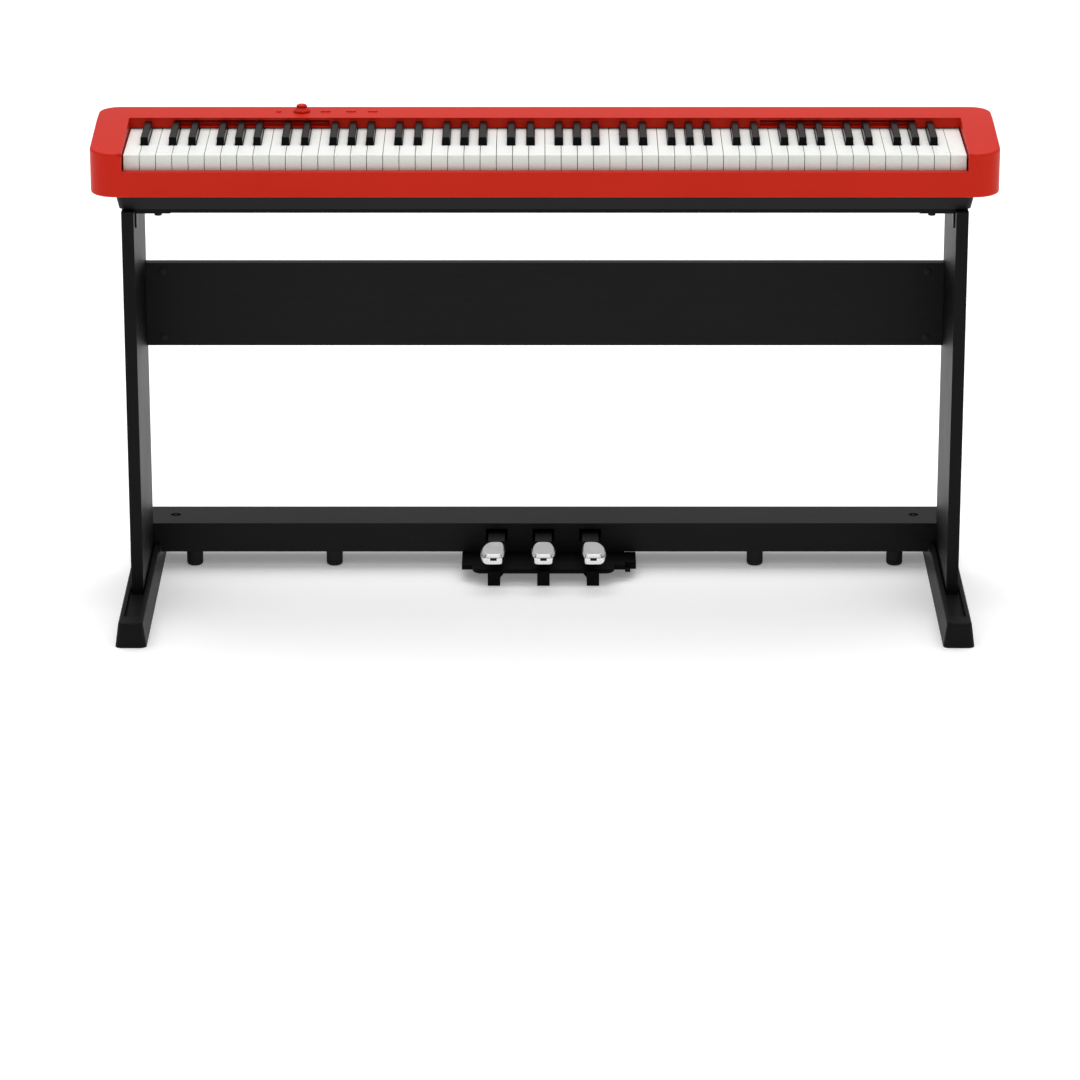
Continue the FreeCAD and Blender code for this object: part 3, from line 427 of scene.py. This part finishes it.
def repeated(item, **values):
    # Copies of a piece's own mesh: count, start, step, turn, left out, ends and finish.
    modifier = item.modifiers.new("copies", "NODES")
    modifier.node_group = copies
    settings = {"Count": 1, "Start": (0.0, 0.0, 0.0), "Step": (0.0, 0.0, 0.0),
                "Turn": 0.0, "Left out": -1}
    settings.update(values)
    for name, value in settings.items():
        modifier[socketIds[name]] = value
    evaluated(item)
    return item


# Keys: rounded copies of the playing octave, and rows of them for the rest
keyRows = {"whiteRound": 0.0007, "blackRound": 0.0009, "octaves": 7, "playing": 3,
           "pitch": 0.0235, "before": 24, "roundDepth": 0.0125, "roundRear": 0.09}
octaveWidth = 7 * keyRows["pitch"]
whiteNotes = ["c", "d", "e", "f", "g", "a", "b"]
blackNotes = ["c_sharp", "d_sharp", "f_sharp", "g_sharp", "a_sharp"]


def whiteEdge(spot):
    return spot.z > keyTop - keyRows["roundDepth"] and spot.y < keyRows["roundRear"]


def blackEdge(spot):
    return spot.z > keyTop


def whiteForm(*notes):
    form = nodeForm(*[note + "_key" for note in notes])
    return soften(form, keyRows["whiteRound"], whiteEdge)


def blackForm(*notes):
    form = nodeForm(*[note + "_key" for note in notes])
    return soften(form, keyRows["blackRound"], blackEdge)


for note in whiteNotes:
    finishPiece(formed(note + "WhiteKey", whiteForm(note)), finishes["key_white"],
                note + "_key", "key_white", note + "_key")
for note in blackNotes:
    finishPiece(formed(note.replace("_sharp", "SharpBlackKey"), blackForm(note)),
                finishes["key_black"], note + "_key", "key_black", note + "_key")
print("playing octave", len(whiteNotes) + len(blackNotes))


def endKeys(name, form, bounds):
    # Only the keys that stand outside the whole octaves.
    low, high = bounds
    for face in [f for f in form.faces if low < f.calc_center_median().x < high]:
        form.faces.remove(face)
    loose = [vert for vert in form.verts if not vert.link_faces]
    bmesh.ops.delete(form, geom=loose, context="VERTS")
    return formed(name, form)


firstOctave = -keyRows["before"] * keyRows["pitch"]
lastOctave = firstOctave + keyRows["octaves"] * octaveWidth
outside = (firstOctave - 0.0001, lastOctave + 0.0001)
rowStart = (-keyRows["playing"] * octaveWidth, 0.0, 0.0)
for colour, form, groups, edge in (
        ("white", whiteForm(*whiteNotes), ("bass_white_keys", "treble_white_keys"),
         whiteEdge),
        ("black", blackForm(*blackNotes), ("bass_black_keys", "treble_black_keys"),
         blackEdge)):
    width = keyRows[colour + "Round"]
    ends = endKeys(colour + "Ends", nodeForm(*groups), outside)
    trimmed = bmesh.new()
    trimmed.from_mesh(ends.data)
    soften(trimmed, width, edge).to_mesh(ends.data)
    row = formed(colour + "KeyRow", form)
    repeated(row, Count=keyRows["octaves"], Start=rowStart, Step=(octaveWidth, 0.0, 0.0),
             Ends=ends, Finish=finishes["key_" + colour], **{"Left out": keyRows["playing"]})
    bpy.data.objects.remove(ends)
    finishPiece(row, finishes["key_" + colour], base, "key_" + colour, *groups)
    print(colour, "key row", len(row.data.polygons))

# Pedals: polished shoe with a turned-down lip and a small dark pad in its front, on a dark arm
shoe = {"places": {"left": -0.0735, "middle": -0.002, "right": 0.0695},
        "outward": {"left": -1, "middle": 0, "right": 1},
        "length": 0.058, "frontTop": 0.0562, "rearTop": 0.0588,
        "lipBack": 0.012, "lipRun": 0.020, "lipRise": 0.0085,
        "armCut": 0.0785, "armRound": 0.0007, "smooth": 2,
        "pad": (0.0100, 0.0016, 0.0044), "padRise": 0.0092, "padBack": 0.0003,
        "padRound": 0.0007,
        # half width, depth and outward shift of each point
        "half": ((0.0045, 0.0, 0.0040), (0.0115, 0.0009, 0.0040), (0.0149, 0.0048, 0.0042),
                 (0.0191, 0.0160, 0.0050), (0.0194, 0.0290, 0.0050),
                 (0.0172, 0.0430, 0.0034), (0.0128, 0.0555, 0.0010),
                 (0.0060, 0.0580, 0.0006)),
        # inset, and part of the way from the bottom to the top
        "rings": ((0.0032, 0.0), (0.0010, 0.05), (0.0, 0.17), (0.0, 0.62), (0.0005, 0.73),
                  (0.0032, 0.950), (0.0038, 0.99), (0.0048, 1.0), (0.0070, 1.0))}


def boxForm(size, centre):
    form = bmesh.new()
    bmesh.ops.create_cube(form, size=1, matrix=Matrix.Translation(centre)
                          @ Matrix.Diagonal((*size, 1)))
    return form


for side in ("left", "middle", "right"):
    node = side + "_pedal"
    low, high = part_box(node)
    front = low[1]
    centre, lean = shoe["places"][side], shoe["outward"][side]
    right = [(centre + lean * shift + x, front + y) for x, y, shift in shoe["half"]]
    left = [(centre + lean * shift - x, front + y)
            for x, y, shift in reversed(shoe["half"])]

    def topAt(y):
        slope = (shoe["rearTop"] - shoe["frontTop"]) / shoe["length"]
        return shoe["frontTop"] + slope * (y - front)

    def bottomAt(y):
        along = (y - front - shoe["lipBack"]) / shoe["lipRun"]
        return low[2] + shoe["lipRise"] * min(1.0, max(0.0, along))

    def level(part):
        return lambda y: bottomAt(y) + (topAt(y) - bottomAt(y)) * part

    paddle = formed(side + "Shoe", stacked(
        right + left, [(inset, level(part)) for inset, part in shoe["rings"]]))
    rounded(paddle, shoe["smooth"])
    finishPiece(paddle, finishes["chrome"], node, "chrome", node)
    padSpot = (centre + lean * shoe["half"][0][2],
               front + shoe["pad"][1] / 2 - shoe["padBack"], low[2] + shoe["padRise"])
    pad = boxForm(shoe["pad"], padSpot)
    finishPiece(formed(side + "ShoePad", soften(pad, shoe["padRound"])), finishes["rubber"], node,
                "rubber")
    arm = nodeForm(node)
    bmesh.ops.bisect_plane(arm, geom=arm.verts[:] + arm.edges[:] + arm.faces[:],
                           plane_co=(0, shoe["armCut"], 0), plane_no=(0, -1, 0),
                           clear_outer=True)
    bmesh.ops.holes_fill(arm, edges=[e for e in arm.edges if e.is_boundary])
    soften(arm, shoe["armRound"])
    finishPiece(formed(side + "PedalArm", arm), finishes["rail_steel"], node, "rail_steel")

# Return springs: copies standing on the base, each with a mesh of its own
for side in shoe["places"]:
    node = side + "_pedal_spring"
    spring = finishPiece(formed(side + "ReturnSpring", nodeForm(node)), finishes["steel"],
                         base, "steel", node)
    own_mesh(spring)
print("pedals")

# Volume knob: turned body with fine ribs and a pointer groove
knob = {"radius": 0.0073, "skirt": 0.0125, "stem": 0.0028, "lift": 0.0005, "steps": 72,
        "ribs": 36, "ribDepth": 0.0005, "ribWidth": 0.0006, "ribLow": 0.0064,
        "ribHigh": 0.0016, "ribRound": 0.0001, "pointer": (0.0007, 0.0032, 0.0003),
        "pointerBack": 0.0036, "pointerSink": 0.0002, "pointerRound": 0.00005}
low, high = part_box("volume_knob")
knobX, knobY = (low[0] + high[0]) / 2, (low[1] + high[1]) / 2
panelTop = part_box("upper_case")[1][2]
top = high[2]
profile = [(knob["stem"], low[2]), (knob["stem"], panelTop + knob["lift"]),
           (knob["skirt"] - 0.0004, panelTop + knob["lift"]),
           (knob["skirt"], panelTop + 0.0009),
           (knob["skirt"] - 0.0001, panelTop + 0.0024),
           (knob["skirt"] - 0.0007, panelTop + 0.0032),
           (knob["radius"] + 0.0020, panelTop + 0.0054), (knob["radius"], panelTop + 0.0068),
           (knob["radius"] - 0.0001, top - 0.0012), (knob["radius"] - 0.0004, top - 0.0005),
           (knob["radius"] - 0.0012, top), (knob["radius"] - 0.0022, top),
           (knob["radius"] - 0.0026, top - 0.0003), (0.0006, top - 0.0003)]
knobBody = formed("knobBody", spun(profile, knob["steps"]))
knobBody.data.transform(Matrix.Translation((knobX, knobY, 0)))
finishPiece(knobBody, finishes["case_red"], "volume_knob", "case_red", "volume_knob")
ribFrom, ribTo = panelTop + knob["ribLow"], top - knob["ribHigh"]
ribForm = boxForm((2 * knob["ribDepth"], knob["ribWidth"], ribTo - ribFrom),
                  (knob["radius"], 0, (ribFrom + ribTo) / 2))
ribs = formed("knobRibs", soften(ribForm, knob["ribRound"]))
repeated(ribs, Count=knob["ribs"], Turn=wholeTurn / knob["ribs"],
         Finish=finishes["case_red"])
ribs.data.transform(Matrix.Translation((knobX, knobY, 0)))
finishPiece(ribs, finishes["case_red"], "volume_knob", "case_red")
pointer = boxForm(knob["pointer"],
                  (knobX, knobY + knob["pointerBack"], top - knob["pointerSink"]))
finishPiece(formed("knobPointer", soften(pointer, knob["pointerRound"])),
            finishes["key_white"], "volume_knob", "key_white")
print("knob")

# Small hardware: caps, pegs, cam locks and case screws, each copies of one turned shape
def pieceName(node):
    # A node's name as one word: cam_locks becomes camLocks.
    first, *rest = node.split("_")
    return first + "".join(word.capitalize() for word in rest)


def crossRecess(item, width, depth, top):
    # Cuts a cross into the top of a turned head.
    for size in ((width, width / 4, 2 * depth), (width / 4, width, 2 * depth)):
        tool = formed("cutter", boxForm(size, (0, 0, top)))
        cutting = item.modifiers.new("recess", "BOOLEAN")
        cutting.object = tool
        cutting.operation = "DIFFERENCE"
        evaluated(item)
        bpy.data.objects.remove(tool)
    return item


def placedPair(item, finish, node, slot, spots, spread):
    # The shape at each spot, and again a step to the treble.
    whole = bmesh.new()
    shape = item.data
    for spot in spots:
        moved = shape.copy()
        moved.transform(spot)
        whole.from_mesh(moved)
        bpy.data.meshes.remove(moved)
    bpy.data.objects.remove(item)
    row = formed(pieceName(node), whole)
    repeated(row, Count=2, Step=(spread, 0.0, 0.0), Finish=finish)
    return finishPiece(row, finish, base, slot, node)


caps = {"radius": 0.0055, "rise": 0.0012, "steps": 40}
low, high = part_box("screw_caps")
capTurn = Matrix.Rotation(math.radians(90), 4, "X")
capProfile = [(caps["radius"], 0.0), (caps["radius"], 0.0005), (0.0051, 0.0009),
              (0.0040, 0.0011), (0.0020, caps["rise"]), (0.0008, caps["rise"])]
placedPair(formed("cap", spun(capProfile, caps["steps"])), finishes["case_black"], "screw_caps",
           "case_black",
           [Matrix.Translation((low[0] + caps["radius"], high[1], z)) @ capTurn
            for z in (low[2] + caps["radius"], high[2] - caps["radius"])],
           high[0] - low[0] - 2 * caps["radius"])

pegs = {"round": 0.0042, "gap": 0.214, "steps": 48}
low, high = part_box("beam_pegs")
pegRadius = (high[1] - low[1]) / 2
pegProfile = [(pegRadius - pegs["round"] - 0.002, 0.0), (pegRadius - pegs["round"], 0.0),
              (pegRadius - 0.0022, 0.0006), (pegRadius - 0.0010, 0.0016),
              (pegRadius - 0.0003, 0.0030), (pegRadius, 0.0048), (pegRadius, 0.0068),
              (pegRadius - 0.0006, 0.0072), (pegRadius - 0.0006, 0.0078),
              (pegRadius, 0.0082), (pegRadius, high[2])]
firstPeg = low[0] + pegRadius
placedPair(formed("peg", spun(pegProfile, pegs["steps"])), finishes["rubber"], "beam_pegs", "rubber",
           [Matrix.Translation((firstPeg + step, low[1] + pegRadius, 0))
            for step in (0, pegs["gap"])], high[0] - pegRadius - pegs["gap"] - firstPeg)

cams = {"rim": 0.0006, "cross": 0.0078, "crossDepth": 0.0022, "steps": 48}
low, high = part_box("cam_locks")
camRadius = (high[1] - low[1]) / 2
camRise = high[2] - low[2]
camFace = camRise - cams["rim"]
camProfile = [(camRadius, 0.0), (camRadius, camFace), (camRadius - cams["rim"], camRise),
              (camRadius - 0.0016, camRise), (camRadius - 0.0020, camFace),
              (0.0006, camFace)]
cam = formed("cam", spun(camProfile, cams["steps"]))
crossRecess(cam, cams["cross"], cams["crossDepth"], camFace)
placedPair(cam, finishes["rail_steel"], "cam_locks", "rail_steel",
           [Matrix.Translation((low[0] + camRadius, low[1] + camRadius, low[2]))],
           high[0] - low[0] - 2 * camRadius)

screws = {"head": 0.0034, "shank": 0.0015, "length": 0.0140, "headHeight": 0.0022,
          "cross": 0.0032, "crossDepth": 0.0011, "steps": 32,
          "places": (-0.05, 0.02, 0.08, 0.12)}
low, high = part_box("case_screws")
screwProfile = [(screws["shank"], -screws["length"]), (screws["shank"], -screws["headHeight"]),
                (screws["head"], -screws["headHeight"]), (screws["head"], -0.0008),
                (0.0028, -0.0002), (0.0018, 0.0), (0.0005, 0.0)]
head = formed("screw", spun(screwProfile, screws["steps"]))
crossRecess(head, screws["cross"], screws["crossDepth"], 0.0)
placedPair(head, finishes["steel"], "case_screws", "steel",
           [Matrix.Translation((low[0] + screws["head"], y, low[2]))
            @ Matrix.Rotation(math.pi, 4, "X") for y in screws["places"]],
           high[0] - low[0] - 2 * screws["head"])
print("small hardware")

# Rounded copies of the larger mouldings
for node, width in (("upper_case", 0.0006), ("lower_case", 0.0008), ("left_foot", 0.0010),
                    ("right_foot", 0.0010), ("pedal_base_plate", 0.0006),
                    ("pedal_posts", 0.0010), ("pedal_connector", 0.0008)):
    form = nodeForm(node)
    soften(form, width)
    # the pedal base parts take the darker plastic, whose extra dark is painted shade
    look = basePlastic if node.startswith("pedal") else finishes[slotOf[node]]
    finishPiece(formed(pieceName(node), form), look, base, slotOf[node], node)
print("mouldings")

# Speaker mesh: fine crossed wires behind the sound slots
wires = {"length": 0.229, "height": 0.0115, "lift": 0.0002, "spacing": 0.0022,
         "thickness": 0.00035, "back": 0.0045, "rows": 5, "rowGap": 0.0024}
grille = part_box("speaker_grilles")
depth = grille[1][1] + wires["back"]
for side, start in (("left", grille[0][0]), ("right", grille[1][0] - wires["length"])):
    sets = []
    for name, size, step, count in (
            ("upright", (wires["thickness"], wires["thickness"], wires["height"]),
             (wires["spacing"], 0.0, 0.0), int(wires["length"] / wires["spacing"])),
            ("across", (wires["length"], wires["thickness"], wires["thickness"]),
             (0.0, 0.0, wires["rowGap"]), wires["rows"])):
        form = boxForm(size, (start + size[0] / 2, depth,
                              grille[0][2] + size[2] / 2 + wires["lift"]))
        sets.append(repeated(formed(side + name, form), Count=count, Step=step,
                             Finish=finishes["speaker_black"]))
    whole = bmesh.new()
    for item in sets:
        whole.from_mesh(item.data)
        bpy.data.objects.remove(item)
    finishPiece(formed(side + "SpeakerMesh", whole), finishes["speaker_black"], base,
                "speaker_black")
print("speaker mesh")

# Camera, floor and lights
camera = {"lens": 168.3, "sensor": 36, "farthest": 60, "back": 7.069, "rise": 1.8875,
          "tilt": 19.28, "side": -0.0072, "frontY": -0.09, "keyTop": 0.705}
lens = bpy.data.cameras.new("view")
lens.lens = camera["lens"]
lens.sensor_width = camera["sensor"]
lens.clip_end = camera["farthest"]
eye = bpy.data.objects.new("view", lens)
eye.location = (camera["side"], camera["frontY"] - camera["back"],
                camera["keyTop"] + camera["rise"])
eye.rotation_euler = (math.radians(90 - camera["tilt"]), 0, 0)
bpy.context.scene.collection.objects.link(eye)
bpy.context.scene.camera = eye

ground = {"reach": 14, "glow": 0.19}        # the glow lifts the shadows under the stand
floorMesh = bpy.data.meshes.new("floor")
reach = ground["reach"]
floorMesh.from_pydata([(-reach, -reach, 0), (reach, -reach, 0), (reach, reach, 0),
                       (-reach, reach, 0)], [], [(0, 1, 2, 3)])
floor = bpy.data.objects.new("floor", floorMesh)
bpy.context.scene.collection.objects.link(floor)
paper = Shade("paper")
floor.data.materials.append(paper.finish(
    colour=paper.blend(paper.noise(3, 2), rgb(0.93, 0.93, 0.93), rgb(0.95, 0.95, 0.95)),
    roughness=0.9, specular=0.2, glow=ground["glow"], glowColour=rgb(1, 1, 1)))


def areaLight(name, size, power, place, aim):
    lamp = bpy.data.lights.new(name, "AREA")
    lamp.shape = "RECTANGLE"
    lamp.size, lamp.size_y = size
    lamp.energy = power
    item = bpy.data.objects.new(name, lamp)
    item.location = place
    item.rotation_euler = (Vector(aim) - Vector(place)).to_track_quat("-Z", "Y").to_euler()
    bpy.context.scene.collection.objects.link(item)


areaLight("overhead", (3.2, 2.2), 10, (0, 0.9, 3.2), (0, 0, 0.4))
studio = {"sunStrength": 1.25, "sunAngle": 62, "sunTilt": -16, "horizon": 0.45, "zenith": 1.0,
          "lowEdge": 0.35, "highEdge": 0.95, "backdrop": 1.0}
sunLamp = bpy.data.lights.new("softSun", "SUN")
sunLamp.energy = studio["sunStrength"]
sunLamp.angle = math.radians(studio["sunAngle"])
sun = bpy.data.objects.new("softSun", sunLamp)
sun.rotation_euler = (math.radians(studio["sunTilt"]), 0, 0)
sun.location = (0, 0.6, 3)
bpy.context.scene.collection.objects.link(sun)

world = bpy.data.worlds.new("studio")
bpy.context.scene.world = world
world.use_nodes = True
sky = world.node_tree
direction = sky.nodes.new("ShaderNodeTexCoord").outputs["Generated"]
parts = sky.nodes.new("ShaderNodeSeparateXYZ")
sky.links.new(direction, parts.inputs[0])
rise = sky.nodes.new("ShaderNodeMapRange")
rise.interpolation_type = "SMOOTHSTEP"
for key, value in (("From Min", studio["lowEdge"]), ("From Max", studio["highEdge"]),
                   ("To Min", studio["horizon"]), ("To Max", studio["zenith"])):
    rise.inputs[key].default_value = value
sky.links.new(parts.outputs["Z"], rise.inputs["Value"])
seen = sky.nodes.new("ShaderNodeLightPath").outputs["Is Camera Ray"]
chosen = sky.nodes.new("ShaderNodeMix")
chosen.inputs[3].default_value = studio["backdrop"]
sky.links.new(seen, chosen.inputs[0])
sky.links.new(rise.outputs["Result"], chosen.inputs[2])
backdrop = sky.nodes["Background"]
backdrop.inputs["Color"].default_value = rgb(1, 1, 1)
sky.links.new(chosen.outputs[0], backdrop.inputs["Strength"])
bpy.context.scene.view_settings.view_transform = "Standard"
print("studio")
